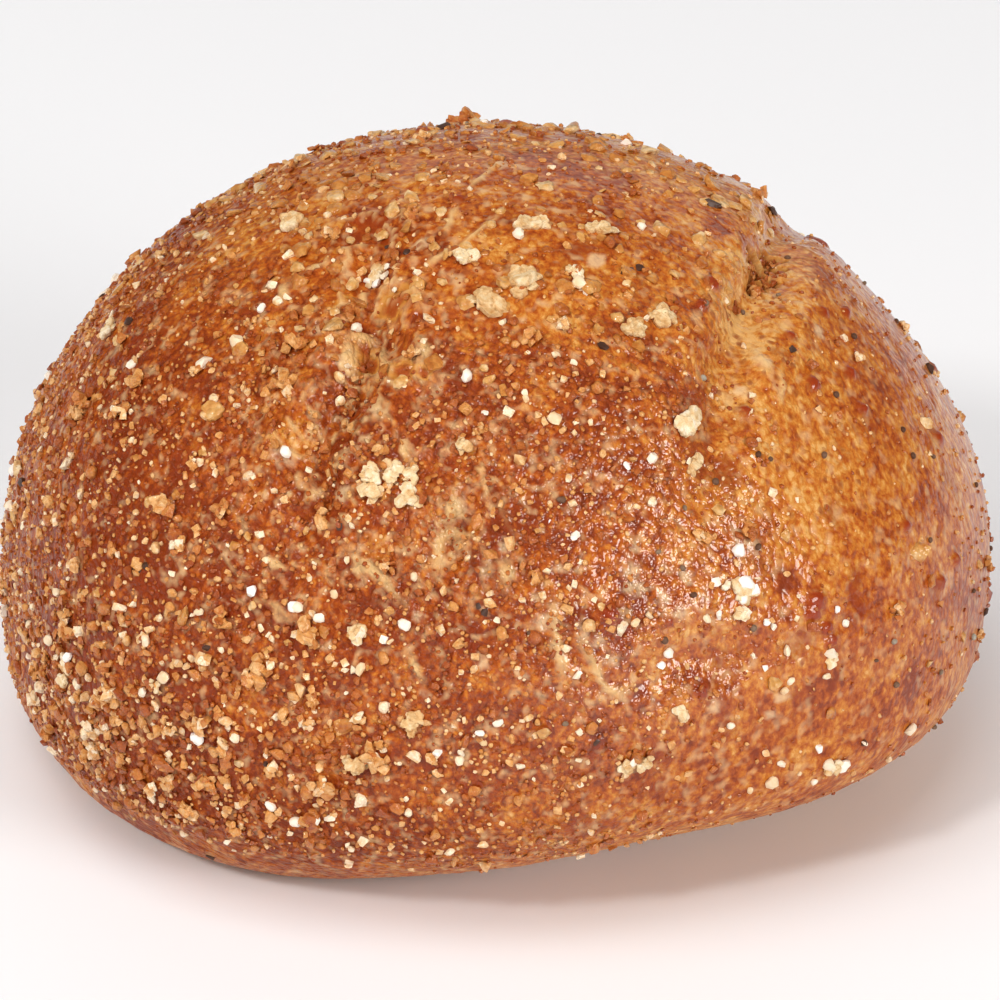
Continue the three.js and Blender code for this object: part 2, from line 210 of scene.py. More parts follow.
WHITE_GRITS = [
    (555, 420, 1.5), (357, 332, 1.3), (577, 284, 1.5), (485, 413, 0.9), (395, 289, 0.6), (577, 675, 1.3),
    (635, 623, 1.1), (648, 616, 1), (667, 652, 1.2), (661, 664, 1), (737, 552, 1.5), (705, 618, 1),
    (718, 615, 1), (772, 627, 0.9), (787, 650, 1.2), (765, 622, 0.8), (575, 537, 0.9), (627, 465, 1),
    (650, 460, 1.3), (466, 377, 1.5), (503, 323, 0.9), (576, 535, 0.9), (298, 819, 1.3), (312, 822, 1.3),
    (330, 816, 1.3), (275, 802, 1.4), (230, 838, 0.8), (203, 735, 1.5), (172, 675, 1.7), (153, 640, 1.3),
    (203, 612, 1.1), (297, 607, 1.3), (253, 592, 1.2), (335, 593, 1), (65, 592, 1.2), (497, 723, 1.1),
    (480, 732, 1.1), (438, 752, 1.1), (461, 751, 0.9), (262, 310, 1.2), (237, 342, 1.7), (207, 363, 1.8),
    (108, 408, 1.4), (133, 365, 1.2), (285, 452, 1.4), (320, 617, 1.2), (293, 606, 1.2), (362, 668, 1.4),
    (833, 655, 1.4), (497, 620, 0.9), (745, 600, 1.2), (726, 585, 1), (782, 690, 0.9), (640, 228, 1),
    (404, 624, 1.4), (360, 633, 1.6), (415, 575, 1), (384, 640, 1), (150, 690, 1.1), (240, 735, 1.2),
    (715, 583, 1.3), (725, 587, 1), (747, 582, 1.9), (755, 590, 1.5), (747, 613, 1.5), (845, 623, 0.9),
    (836, 610, 0.8), (825, 676, 1.1), (730, 724, 0.9), (862, 742, 0.8), (907, 728, 1.4), (902, 753, 0.9),
    (842, 763, 1.8), (832, 766, 1.6), (818, 747, 1), (780, 762, 1), (770, 782, 1.5), (812, 780, 0.9),
    (750, 790, 0.8), (885, 757, 0.9), (765, 668, 0.8), (790, 680, 1), (566, 648, 0.9), (632, 762, 1.3),
    (586, 292, 0.9), (368, 278, 1.2), (377, 282, 1.2), (385, 275, 1.1), (387, 266, 0.9), (519, 235, 1.4),
    (70, 655, 1.6), (78, 668, 1.3), (66, 680, 1.5), (88, 682, 1), (57, 640, 1.2), (95, 700, 1.2),
]


# Working out the dough's form

def unit(vectors):
    """The same directions with a length of 1."""
    return vectors / np.linalg.norm(vectors, axis=-1, keepdims=True)


def directions(longitude, latitude):
    longitude = np.radians(longitude)
    latitude = np.radians(latitude)
    level = np.cos(latitude)
    return np.stack([level * np.cos(longitude), level * np.sin(longitude), np.sin(latitude)], axis=-1)


def between(limits, draw):
    low, high = limits
    return low + (high - low) * draw


def smoothstep(low, high, value):
    share = np.clip((value - low) / (high - low), 0, 1)
    return share * share * (3 - 2 * share)


def seeded_draws(seed):
    """A repeatable run of draws between 0 and 1, the same as in the solid."""
    state = seed
    while True:
        state = (state * 1664525 + 1013904223) % 2**32
        yield state / 2**32


def bell(direction, at, spread):
    angle = np.arccos(np.clip(direction @ directions(*at), -1, 1))
    return np.exp(-((angle / math.radians(spread)) ** 2))


def dome_radius(direction):
    """How far the bare dome's skin is from the heart of the roll."""
    x, y, z = direction.T
    towards_heel = direction @ directions(HEEL_LONGITUDE, 0)
    heel_share = ((1 + towards_heel) / 2) ** 2
    low_squareness = BOWL_SQUARENESS + (HEEL_SQUARENESS - BOWL_SQUARENESS) * heel_share
    squareness = np.where(z < 0, low_squareness, 2)
    rise = np.where(z < 0, BOWL_DEPTH - HEEL_LIFT * heel_share, DOME_RISE)
    across = np.hypot(x / HALF_WIDTH, y / HALF_DEPTH)
    upright = np.abs(z) / rise
    return (across**squareness + upright**squareness) ** (-1 / squareness)


def line_distance(direction, points):
    """The distance in mm from a line of unit directions, and the share of the way along it."""
    lengths = [np.linalg.norm(end - start) for start, end in zip(points, points[1:])]
    shares = np.concatenate([[0], np.cumsum(lengths) / sum(lengths)])
    nearest = np.full(len(direction), np.inf)
    along = np.zeros(len(direction))
    for i, start in enumerate(points[:-1]):
        run = points[i + 1] - start
        part = np.clip((direction - start) @ run / (run @ run), 0, 1)
        foot = unit(start + part[:, None] * run)
        distance = np.linalg.norm(foot - direction, axis=1) * MEAN_RADIUS
        nearer = distance < nearest
        nearest = np.where(nearer, distance, nearest)
        along = np.where(nearer, shares[i] + (shares[i + 1] - shares[i]) * part, along)
    return nearest, along


def crease_distance(direction, name):
    return line_distance(direction, [directions(*at) for at in CREASES[name][0]])


def crease_fade(along):
    return np.sin(np.pi * np.clip(along, 0.02, 0.98)) ** 0.6


def crease_relief(direction, name, wander=0):
    _, depth, half_width, lips = CREASES[name]
    nearest, along = crease_distance(direction, name)
    nearest = np.abs(nearest + wander)
    groove = np.exp(-((nearest / half_width) ** 2))
    lip = np.exp(-(((nearest - 1.9 * half_width) / half_width) ** 2))
    return crease_fade(along) * (lips * lip - depth * groove)


def uneven_waves():
    draw = seeded_draws(7)
    waves = []
    for _ in range(UNEVEN_WAVES):
        longitude = 360 * next(draw)
        latitude = 90 - 180 * next(draw)
        pace = between(UNEVEN_PACE, next(draw))
        waves.append((directions(longitude, latitude) * pace, 2 * math.pi * next(draw)))
    return waves


def dough_relief(direction, wander=0):
    relief = np.zeros(len(direction))
    for at, spread, rise in SWELLS:
        relief += rise * bell(direction, at, spread)
    for name in CREASES:
        relief += crease_relief(direction, name, wander)
    for heading, start in uneven_waves():
        relief += UNEVEN_HEIGHT * np.sin(direction @ heading + start)
    return relief


def crust_points(direction, relief):
    """Points on the crust in mm. The sole is flat on the table."""
    points = direction * (dome_radius(direction) + relief)[:, None]
    height = points[:, 2] + WIDEST_LEVEL
    blend = np.clip(height + SOLE_ROUNDING, 0, 2 * SOLE_ROUNDING)
    rounded = blend**2 / (4 * SOLE_ROUNDING) + np.maximum(height - SOLE_ROUNDING, 0)
    points[:, 2] = np.maximum(rounded - SOLE_TRIM, 0)
    return points


def crust_normals(direction):
    """The dough's outward normals, from two small steps along it."""
    east = unit(np.stack([-direction[:, 1], direction[:, 0], np.zeros(len(direction))], axis=-1))
    north = np.cross(direction, east)
    here = crust_points(direction, dough_relief(direction))
    steps = []
    for way in (east, north):
        moved = unit(direction + NORMAL_STEP * way)
        steps.append(crust_points(moved, dough_relief(moved)) - here)
    return unit(np.cross(*steps))


# Where the coat lies

def coat_strength(direction):
    """1 where the roll was pressed into the grain, at the left, and 0 on the bare right."""
    return smoothstep(-0.25, 0.95, direction @ directions(-150, 25))


def coverage(direction):
    share = np.full(len(direction), COAT_BARE)
    for at, spread, more in COAT_PATCHES:
        share += more * bell(direction, at, spread)
    return share


def dish_share(direction):
    """The thick coat low at the front left."""
    return bell(direction, (-137, 0), 22)


def above_skirt(direction):
    """1 down to where the coat ends, and 0 on the skirt below it."""
    latitude = np.degrees(np.arcsin(np.clip(direction[:, 2], -1, 1)))
    return smoothstep(-15, -8, latitude)


def crown(direction):
    """1 on top of the roll, where the glaze has buried the fine crumbs and only lumps show."""
    return smoothstep(0.72, 0.93, direction[:, 2])


def noise_over(points, size, start, octaves=2):
    """Soft noise about -1 to 1 at each point, with lumps of the given size in mm."""
    shift = Vector(start)
    return np.array([noise.fractal(Vector(point) / size + shift, 1.0, 2.0, octaves) for point in points])


def cells_over(points, size, start=(0, 0, 0)):
    """Distance to the nearest cell middle at each point, in cells of the given size in mm."""
    shift = Vector(start)
    return np.array([noise.voronoi(Vector(point) / size + shift)[0][0] for point in points])


# The view of the photo

def view_axes():
    lift = math.radians(CAMERA_ELEVATION)
    right = np.array([1.0, 0, 0])
    up = np.array([0, math.sin(lift), math.cos(lift)])
    back = np.array([0, -math.cos(lift), math.sin(lift)])
    return right, up, back


def camera_place():
    return CAMERA_AIM + CAMERA_DISTANCE * view_axes()[2]


def solid_tree():
    """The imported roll's surface in mm, for finding what a pixel of the photo shows."""
    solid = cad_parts["bread_roll"].data
    corners = [vertex.co / MM for vertex in solid.vertices]
    return BVHTree.FromPolygons(corners, [tuple(face.vertices) for face in solid.polygons])


def directions_at(pixels, tree):
    right, up, back = view_axes()
    found = []
    for x, y in pixels:
        across = (x - PHOTO_PIXELS / 2) / FOCAL_PIXELS
        upward = (PHOTO_PIXELS / 2 - y) / FOCAL_PIXELS
        ray = Vector(right * across + up * upward - back)
        hit = tree.ray_cast(Vector(camera_place()), ray.normalized())[0]
        found.append(None if hit is None else np.array((hit - Vector(HEART)).normalized()))
    return found


def found_in_photo(rows, tree):
    """The listed details that fall on the roll: their directions, and what else their rows say."""
    ways = directions_at([row[:2] for row in rows], tree)
    return [(way, *row[2:]) for way, row in zip(ways, rows) if way is not None]


def unseen(ways, limit=0.25):
    """True where a place faces away from the camera."""
    return ways @ view_axes()[2] <= limit


# Modelling helpers

def new_primitive(add, name, **sizes):
    bpy.ops.object.select_all(action="DESELECT")
    add(**sizes)
    made = bpy.context.object
    made.name = name
    made.data.name = name
    return made


def coordinates(piece):
    flat = np.empty(3 * len(piece.data.vertices))
    piece.data.vertices.foreach_get("co", flat)
    return flat.reshape(-1, 3)


def set_coordinates(piece, points):
    piece.data.vertices.foreach_set("co", points.ravel())
    piece.data.update()


def store(piece, name, values):
    attribute = piece.data.attributes.new(name, "FLOAT", "POINT")
    attribute.data.foreach_set("value", np.asarray(values, dtype=np.float32))


# The crust

CUBE_CUTS = (7, 15)  # a cube's side is cut into 8 and then 16, which makes 128 faces

# Sizes, heights and depths in mm of the skin's relief, and of its soft changes of colour
BROAD_SIZE = 15
LUMP_SIZE = 5.5
LUMP_HEIGHT = 0.16
BLOT_SIZE = 4.5
FINE_SIZE = 1.9
FINE_HEIGHT = 0.14
PEBBLE_SIZE = 1.3
PEBBLE_HEIGHT = 0.2
DRAWN_SIZE = 1.1
DRAWN_HEIGHT = 0.1
DRAWN_UPWARD = np.array([1, 1, 0.45])  # the height counts less, so the bumps are longer upward
WRINKLE_SIZE = 3.4
WRINKLE_HEIGHT = 0.75
WANDER_SIZE = 3.0
WANDER = 0.5
SEAM_REACH = 4.2
BLISTER_HEIGHT = 0.55
POCKET_DEPTH = 0.25
POCKET_RIM_HEIGHT = 0.35
RIDGE_HEIGHT = 0.3
VEILED_HEIGHT = 0.1
TEAR_LIP_HEIGHT = 0.2
TEAR_DEPTH = 0.2
TEAR_CRUMB_SIZE = 1.4
TEAR_CRUMB_DEPTH = 1.1
DISH_RISE = 0.9

# How far the skin is rumpled around each fold: strength, and reach in mm
RUMPLED = {"puckered fold": (1, 6), "front pucker": (0.9, 4), "back fold": (0.6, 5)}


def away_from(direction, middle):
    return np.linalg.norm(direction - middle, axis=1) * MEAN_RADIUS


def spots(direction, found, ragged=0):
    """How far each point lies from the nearest of the found places, as a share of its radius."""
    nearest = np.full(len(direction), 9.0)
    for middle, size in found:
        nearest = np.minimum(nearest, (away_from(direction, middle) + ragged) / (size / 2))
    return nearest


def ring(away, inner, outer):
    """1 in a ring around a spot, which fades in and out between the given limits."""
    return smoothstep(*inner, away) * smoothstep(*outer, away)


def make_crust(blisters, tears, pockets, veiled, ridges, tones):
    crust = new_primitive(bpy.ops.mesh.primitive_cube_add, "crust", size=2)
    bpy.ops.object.mode_set(mode="EDIT")
    bpy.ops.mesh.select_all(action="SELECT")
    for cuts in CUBE_CUTS:
        bpy.ops.mesh.subdivide(number_cuts=cuts)
    bpy.ops.object.mode_set(mode="OBJECT")

    direction = unit(np.tan(coordinates(crust) * math.pi / 4))
    direction[:, 2] += UPWARD_DRAW
    direction = unit(direction)

    base = crust_points(direction, dough_relief(direction))
    coat = coat_strength(direction)
    bare = np.maximum(1 - coat, crown(direction))
    dish = dish_share(direction)
    fine = noise_over(base, FINE_SIZE, (9, 4, 2), 3)

    # Around the folds the skin is rumpled, with pale lips on the crests
    rumpled = np.zeros(len(direction))
    for name, (strength, reach) in RUMPLED.items():
        away = crease_distance(direction, name)[0]
        rumpled = np.maximum(rumpled, strength * np.exp(-((away / reach) ** 2)))
    crest = (1 - np.abs(noise_over(base, WRINKLE_SIZE, (2, 8, 5)))) ** 5
    seam_away, seam_along = crease_distance(direction, "torn seam")
    seam = np.exp(-((seam_away / SEAM_REACH) ** 2)) * crease_fade(seam_along)

    # What the photo shows at its own place
    tear_away = spots(direction, tears, 0.55 * noise_over(base, 1.1, (6, 6, 1), 3))
    tear = smoothstep(1.12, 0.82, tear_away)
    tear_lip = ring(tear_away, (0.95, 1.15), (1.75, 1.3))
    ridge = np.zeros(len(direction))
    for line, half_width in ridges:
        away, along = line_distance(direction, line)
        swollen = half_width * (1 + 0.6 * fine)
        ridge = np.maximum(ridge, smoothstep(1.3, 0.5, away / swollen) * crease_fade(along))
    veil = 0.7 * smoothstep(1.1, 0.5, spots(direction, veiled, 0.9 * noise_over(base, 0.9, (3, 9, 2))))
    # Spots made browner or more golden, the broad ones at the sides a painted shade on sides turned from the
    # lights
    toned = np.zeros(len(direction))
    for middle, size, amount in tones:
        away = away_from(direction, middle) + 0.9 * fine
        toned += amount * smoothstep(1.5, 0.5, away / (size / 2))
    blister_away = spots(direction, blisters, 0.15 * fine)
    blister_height = BLISTER_HEIGHT * np.sqrt(np.clip(1 - blister_away**2, 0, 1))
    pocket_away = spots(direction, pockets, 0.9 * noise_over(base, 2.0, (8, 1, 3)))
    pocket = smoothstep(1.05, 0.3, pocket_away)
    rim = ring(pocket_away, (0.85, 1.02), (1.3, 1.1))
    rim *= np.clip(0.75 + noise_over(base, 1.6, (1, 9, 4)), 0, 1)
    lips = 0.8 * rumpled * smoothstep(0.6, 0.95, crest)
    for pale in (0.15 * tear_lip, 0.85 * ridge, 0.8 * rim):
        lips = np.maximum(lips, pale)

    # The skin's own relief, finer and lower where the coat is thin
    fine_relief = FINE_HEIGHT * fine + LUMP_HEIGHT * noise_over(base, LUMP_SIZE, (3, 1, 7))
    pebbles = 0.5 - cells_over(base, PEBBLE_SIZE)
    fine_relief += PEBBLE_HEIGHT * pebbles * (1 - 0.75 * bare) * (1 - 0.6 * seam)
    drawn = 0.5 - cells_over(base * DRAWN_UPWARD, DRAWN_SIZE, (5, 5, 5))
    fine_relief += DRAWN_HEIGHT * drawn * (1 - coat)
    fine_relief *= 1 - 0.3 * bare
    fine_relief *= 1 - 0.7 * pocket
    relief = fine_relief + WRINKLE_HEIGHT * (rumpled * (crest - 0.35))
    relief += blister_height + DISH_RISE * dish * above_skirt(direction)
    relief += TEAR_LIP_HEIGHT * tear_lip + POCKET_RIM_HEIGHT * rim - POCKET_DEPTH * pocket
    relief += RIDGE_HEIGHT * ridge + VEILED_HEIGHT * veil
    relief -= tear * (TEAR_DEPTH + TEAR_CRUMB_DEPTH * cells_over(base, TEAR_CRUMB_SIZE, (1, 2, 3)))

    wander = WANDER * noise_over(base, WANDER_SIZE, (4, 7, 9))
    above_sole = smoothstep(0.6, 4, base[:, 2])
    points = crust_points(direction, dough_relief(direction, wander) + relief * above_sole)
    set_coordinates(crust, points * MM)
    bpy.ops.object.shade_smooth()

    # What the material goes by
    raised = np.clip(0.5 + (fine_relief + 0.5 * blister_height) * 1.6, 0, 1)
    # Browner under the coat and in the dish: partly the crust's own colour, partly painted shade in the gaps
    # between the grains
    browning = 0.21 * noise_over(base, BROAD_SIZE, (5, 2, 8)) + 0.25 * raised + 0.3 * coat + 0.2 * dish
    browning -= 0.2 * seam * (1 - coat) + 0.16 * crown(direction) + 0.25 * (1 - above_skirt(direction))
    fields = {
        "coat": coat,
        "bare": bare,
        "browning": browning + 0.44 * np.clip(toned, -1, 1),
        "blots": 0.5 + 0.25 * noise_over(base, BLOT_SIZE, (2, 6, 3), 3),
        "veil": veil,
        "lips": lips,
        "tear": tear,
        "pocket": pocket,
        "blister": smoothstep(1.2, 0.75, blister_away),
        "sole": 1 - smoothstep(0.2, 2.6, base[:, 2]),
    }
    for name, values in fields.items():
        store(crust, name, values)
    return crust


# The toppings: each shape is modelled once, and the copies are joined in one mesh

# Shares of a shape that is about 1 long
BREAK_DISTANCE = (0.26, 0.44)
PLATE_HALF = 0.2
PLATE_THICKENING = 2.2
PLATE_RAGGEDNESS = 0.42
PLATE_UNEVENNESS = 0.07

# How the copies vary and lie
WIDTH_SHARE = (0.65, 1)
LEANING = 0.22
GRAIN_CHIPS = 7
FLAKE_PLATES = 7
CLUMP_RADIUS = 0.42
CHIP_OVERLAP = 1.4
TEAR_CRUMBS = 14


def template_of(piece):
    """A modelled shape as its corners and triangles. The object itself is removed."""
    bpy.ops.object.mode_set(mode="EDIT")
    bpy.ops.mesh.select_all(action="SELECT")
    bpy.ops.mesh.quads_convert_to_tris()
    bpy.ops.mesh.normals_make_consistent(inside=False)
    bpy.ops.object.mode_set(mode="OBJECT")
    corners = coordinates(piece)
    faces = np.array([tuple(face.vertices) for face in piece.data.polygons])
    bpy.data.objects.remove(piece)
    return corners, faces


def chip_shape(rng, breaks):
    """A cracked kernel: a block broken off flat on many sides, about 1 long each way."""
    piece = new_primitive(bpy.ops.mesh.primitive_cube_add, "chip", size=0.9)
    bpy.ops.object.mode_set(mode="EDIT")
    for _ in range(breaks):
        normal = unit(rng.normal(size=3))
        bpy.ops.mesh.select_all(action="SELECT")
        place = normal * rng.uniform(*BREAK_DISTANCE)
        bpy.ops.mesh.bisect(plane_co=place, plane_no=normal, use_fill=True, clear_outer=True)
    bpy.ops.object.mode_set(mode="OBJECT")
    return template_of(piece)


def lump_shape(rng, level, roughness, size):
    """A soft irregular lump, about 1 long each way."""
    piece = new_primitive(bpy.ops.mesh.primitive_ico_sphere_add, "lump", subdivisions=level, radius=0.5)
    start = Vector(rng.uniform(0, 50, size=3))
    points = coordinates(piece)
    swell = 1 + roughness * noise_over(points, size, start, 3)
    set_coordinates(piece, points * swell[:, None])
    return template_of(piece)


def plate_shape(rng):
    """A piece of rolled flake: flat on both faces, with a ragged outline."""
    piece = new_primitive(bpy.ops.mesh.primitive_ico_sphere_add, "plate", subdivisions=3, radius=0.5)
    start = Vector(rng.uniform(0, 50, size=3))
    points = coordinates(piece)
    level = np.clip(points[:, 2], -PLATE_HALF, PLATE_HALF)
    outline = noise_over(points * np.array([1, 1, 0]), 0.4, start, 3)
    uneven = noise_over(points, 0.2, start, 2)
    points *= (1 + PLATE_RAGGEDNESS * outline)[:, None]
    points[:, 2] = PLATE_THICKENING * level + PLATE_UNEVENNESS * uneven
    set_coordinates(piece, points)
    return template_of(piece)


def seat_axes(normal, turn):
    """Two axes along the crust and one out of it, as rows."""
    straight_up = abs(normal[2]) >= 0.999
    east = np.array([1.0, 0, 0]) if straight_up else np.array([-normal[1], normal[0], 0])
    side = unit(np.cross(normal, east))
    ahead = np.cross(side, normal)
    turned = math.cos(turn) * ahead + math.sin(turn) * side
    return np.stack([turned, np.cross(normal, turned), normal])


def joined_copies(name, shapes, copies, sharp_angle):
    """One mesh of all the copies. Each is a shape number, a place, axes scaled in mm, and a tint."""
    corners = []
    faces = []
    tints = []
    count = 0
    for shape, place, axes, tint in copies:
        points, triangles = shapes[shape]
        corners.append(points @ axes + place)
        faces.append(triangles + count)
        tints.append(np.full(len(points), tint))
        count += len(points)
    mesh = bpy.data.meshes.new(name)
    mesh.from_pydata((np.concatenate(corners) * MM).tolist(), [], np.concatenate(faces).tolist())
    piece = bpy.data.objects.new(name, mesh)
    bpy.context.scene.collection.objects.link(piece)
    store(piece, "tint", np.concatenate(tints))
    bpy.ops.object.select_all(action="DESELECT")
    piece.select_set(True)
    bpy.context.view_layer.objects.active = piece
    bpy.ops.object.shade_smooth_by_angle(angle=math.radians(sharp_angle))
    return piece


class Seats:
    """Finds where things lie on the finished crust."""

    def __init__(self, crust):
        corners = coordinates(crust) / MM
        faces = [tuple(face.vertices) for face in crust.data.polygons]
        self.tree = BVHTree.FromPolygons([Vector(corner) for corner in corners], faces)

    def on_crust(self, direction):
        start = Vector(HEART + 2 * MEAN_RADIUS * direction)
        hit = self.tree.ray_cast(start, Vector(-direction))[0]
        return np.array(hit)


def spread(count, lowest, rng):
    """Directions spread evenly by the golden angle from the crown down, with a little jitter."""
    index = np.arange(count)
    low = math.sin(math.radians(lowest))
    height = 1 - (index + rng.random(count)) / count * (1 - low)
    longitude = index * GOLDEN_ANGLE + rng.uniform(0, 200 / math.sqrt(count), count)
    return directions(longitude, np.degrees(np.arcsin(height)))


def around(found, count, rng):
    """Directions strewn over each of the found places."""
    ways = [middle + rng.normal(size=(count, 3)) * size / 4 / MEAN_RADIUS for middle, size in found]
    return unit(np.concatenate(ways))


def scattered(name, seats, rng, ways, sizes, tints, shapes, flatness, sunk, sharp_angle=180):
    """Copies lying on the crust, each turned at random and sunk in by a share of its height."""
    copies = []
    for way, normal, length, tint in zip(ways, crust_normals(ways), sizes, tints):
        tilt = unit(normal + LEANING * rng.normal(size=3))
        width = length * rng.uniform(*WIDTH_SHARE)
        height = length * rng.uniform(*flatness)
        axes = seat_axes(tilt, rng.uniform(0, 2 * math.pi)) * np.array([[length], [width], [height]])
        place = seats.on_crust(way) + tilt * height * (0.5 - sunk)
        copies.append((rng.integers(len(shapes)), place, axes, tint))
    return joined_copies(name, shapes, copies, sharp_angle)


def coarse_grains():
    """The grains that the solid holds, by its own rule."""
    draw = seeded_draws(20)
    lowest = math.sin(math.radians(COAT_LOWEST))
    grains = []
    for i in range(GRAIN_PLACES):
        latitude = math.degrees(math.asin(1 - (i + next(draw)) / GRAIN_PLACES * (1 - lowest)))
        longitude = (i * GOLDEN_ANGLE + 6 * next(draw)) % 360 - 180
        kept = next(draw) < coverage(directions(longitude, latitude)[None])[0]
        length = between(GRAIN_SIZE, next(draw) ** 2)
        width = length * between(WIDTH_SHARE, next(draw))
        height = length * between(GRAIN_FLATNESS, next(draw))
        turn = 180 * next(draw)
        next(draw)  # the solid's rule draws once more, for the grain's shape
        if kept:
            grains.append((longitude, latitude, length, width, height, turn))
    return grains


def clumped(name, seats, rng, rows, tints, shapes, pieces, tilt, thickness, sharp_angle):
    """Clumps: each row's place is filled by small pieces that lie close together on the crust."""
    copies = []
    for (longitude, latitude, length, width, height, turn), tint in zip(rows, tints):
        way = directions(longitude, latitude)
        normal = crust_normals(way[None])[0]
        axes = seat_axes(normal, math.radians(turn)) * np.array([[length], [width], [height]])
        seat = seats.on_crust(way) + normal * height * (0.5 - GRAIN_SUNK)
        reach = CHIP_OVERLAP * math.sqrt(length * width / pieces)
        for i in range(pieces):
            angle = math.radians(i * GOLDEN_ANGLE) + 0.5 * rng.normal()
            out = CLUMP_RADIUS * math.sqrt(i / pieces) * rng.uniform(0.6, 1.15)
            low = rng.uniform(-0.2, 0.15) - 0.4 * out
            offset = np.array([out * math.cos(angle), out * math.sin(angle), low])
            leaning = unit(normal + tilt * rng.normal(size=3))
            size = np.array([[1], [0.85], [thickness]]) * reach * rng.uniform(0.65, 1.3)
            piece = seat_axes(leaning, rng.uniform(0, 2 * math.pi)) * size
            shown = min(max(tint + 0.15 * rng.normal(), 0), 1)
            copies.append((rng.integers(len(shapes)), seat + offset @ axes, piece, shown))
    return joined_copies(name, shapes, copies, sharp_angle)


def patchy(direction, size, start):
    """Where loose toppings bunch, and where they are few: from 1.6 down to 0.15."""
    return np.clip(0.85 + 0.8 * noise_over(direction * MEAN_RADIUS, size, start), 0.15, 1.6)


def kept(rng, ways, share, tears):
    """The directions that a draw keeps by their share, outside the tear."""
    return ways[(rng.random(len(ways)) < share) & (spots(ways, tears) > 1.25)]


def make_coarse_grain(seats, shapes):
    """The grains of the solid: each a clump of cracked kernels, toasted together."""
    rng = np.random.default_rng(31)
    rows = coarse_grains()
    tints = 0.3 + 0.52 * rng.random(len(rows))
    return clumped("coarse_grain", seats, rng, rows, tints, shapes, GRAIN_CHIPS, 0.5, 0.7, 48)


def make_oat_flakes(seats, shapes):
    """Rolled oats and flat clusters of meal, crumbled on top."""
    rng = np.random.default_rng(33)
    return clumped("oat_flakes", seats, rng, FLAKES, FLAKE_TINTS, shapes, FLAKE_PLATES, 0.2, 0.42, 50)


def make_glazed_lumps(seats, shapes, tears):
    """Soft lumps of flake and grain that the glaze has covered, most of them on top."""
    rng = np.random.default_rng(39)
    ways = spread(3600, 0, rng)
    share = (0.08 * coat_strength(ways) + 0.5 * crown(ways) + 0.015) * patchy(ways, 3.4, (3, 7, 1)) ** 2
    ways = kept(rng, ways, share, tears)
    sizes = between((0.8, 2.2), rng.random(len(ways)) ** 1.6)
    tints = 0.1 + 0.8 * rng.random(len(ways))
    return scattered("glazed_lumps", seats, rng, ways, sizes, tints, shapes, (0.3, 0.5), 0.4, 60)


def make_cracked_grain(seats, shapes, tears):
    """Single cracked kernels between the clumps, from cream to brown."""
    rng = np.random.default_rng(37)
    ways = spread(6500, -14, rng)
    share = 0.3 * coat_strength(ways) ** 1.5 + 0.6 * dish_share(ways)
    share = share * patchy(ways, 7, (1, 5, 2)) * above_skirt(ways) + 0.012
    ways = kept(rng, ways, share * (1 - 0.4 * crown(ways)), tears)
    sizes = between((0.7, 1.45), rng.random(len(ways)) ** 2) * (1 + 0.15 * dish_share(ways))
    tints = rng.random(len(ways)) ** 1.35
    return scattered("cracked_grain", seats, rng, ways, sizes, tints, shapes, (0.5, 0.85), 0.3, 48)


def make_toasted_crumbs(seats, shapes, tears):
    """Broken bran and crumbs under a millimetre, tan or browned, and the crumb of the tear."""
    rng = np.random.default_rng(38)
    ways = spread(20000, -15, rng)
    share = 0.36 * coat_strength(ways) + 0.5 * dish_share(ways)
    share = share * patchy(ways, 5, (4, 4, 2)) * above_skirt(ways) + 0.02
    ways = kept(rng, ways, share * (1 - 0.4 * crown(ways)), tears)
    ways = np.concatenate([ways, around(tears, TEAR_CRUMBS, rng)])
    sizes = between((0.4, 0.9), rng.random(len(ways)) ** 1.4)
    tints = rng.random(len(ways)) ** 1.2
    tints[-TEAR_CRUMBS * len(tears):] *= 0.45
    return scattered("toasted_crumbs", seats, rng, ways, sizes, tints, shapes, (0.5, 0.85), 0.3, 60)


def make_glazed_crumbs(seats, shapes, tears):
    """Fine crumbs that the glaze has run over, so they have the crust's own colour."""
    rng = np.random.default_rng(32)
    ways = spread(42000, -16, rng)
    share = 0.2 + 0.72 * smoothstep(0.05, 0.6, coat_strength(ways))
    share = share * patchy(ways, 5, (7, 2, 9)) * above_skirt(ways)
    ways = kept(rng, ways, 0.5 * share * (1 - 0.5 * crown(ways)) + 0.01, tears)
    sizes = between((0.26, 0.62), rng.random(len(ways)) ** 1.5)
    tints = rng.random(len(ways))
    return scattered("glazed_crumbs", seats, rng, ways, sizes, tints, shapes, (0.5, 0.8), 0.35)


def with_found(rng, ways, limits, found, size_share):
    """Places of drawn sizes, and after them those found in the photo, each with its own size."""
    sizes = [*rng.uniform(*limits, len(ways)), *(size_share * size for _, size in found)]
    return np.array([*ways, *(middle for middle, _ in found)]), sizes


def make_white_grits(seats, shapes, found):
    """White grits of cracked oat and rice, some found in the photo and the rest spread alike."""
    rng = np.random.default_rng(34)
    ways = spread(900, -12, rng)
    share = 0.02 + 0.1 * coat_strength(ways) + 0.35 * dish_share(ways)
    ways = ways[(rng.random(len(ways)) < share) & unseen(ways)]
    ways, sizes = with_found(rng, ways, (0.8, 1.5), found, 0.9)
    tints = rng.random(len(ways))
    return scattered("white_grits", seats, rng, ways, sizes, tints, shapes, (0.55, 0.8), 0.15, 38)


def make_poppy_seeds(seats, shapes, found):
    """Poppy seeds, all about a millimetre or less."""
    rng = np.random.default_rng(35)
    ways = spread(260, -20, rng)
    ways = ways[(rng.random(len(ways)) < 0.3 + 0.3 * (1 - coat_strength(ways))) & unseen(ways, 0.3)]
    ways = np.array([*ways, *(row[0] for row in found)])
    sizes = rng.uniform(0.5, 0.75, len(ways))
    tints = rng.random(len(ways))
    return scattered("poppy_seeds", seats, rng, ways, sizes, tints, shapes, (0.75, 0.9), 0.35)


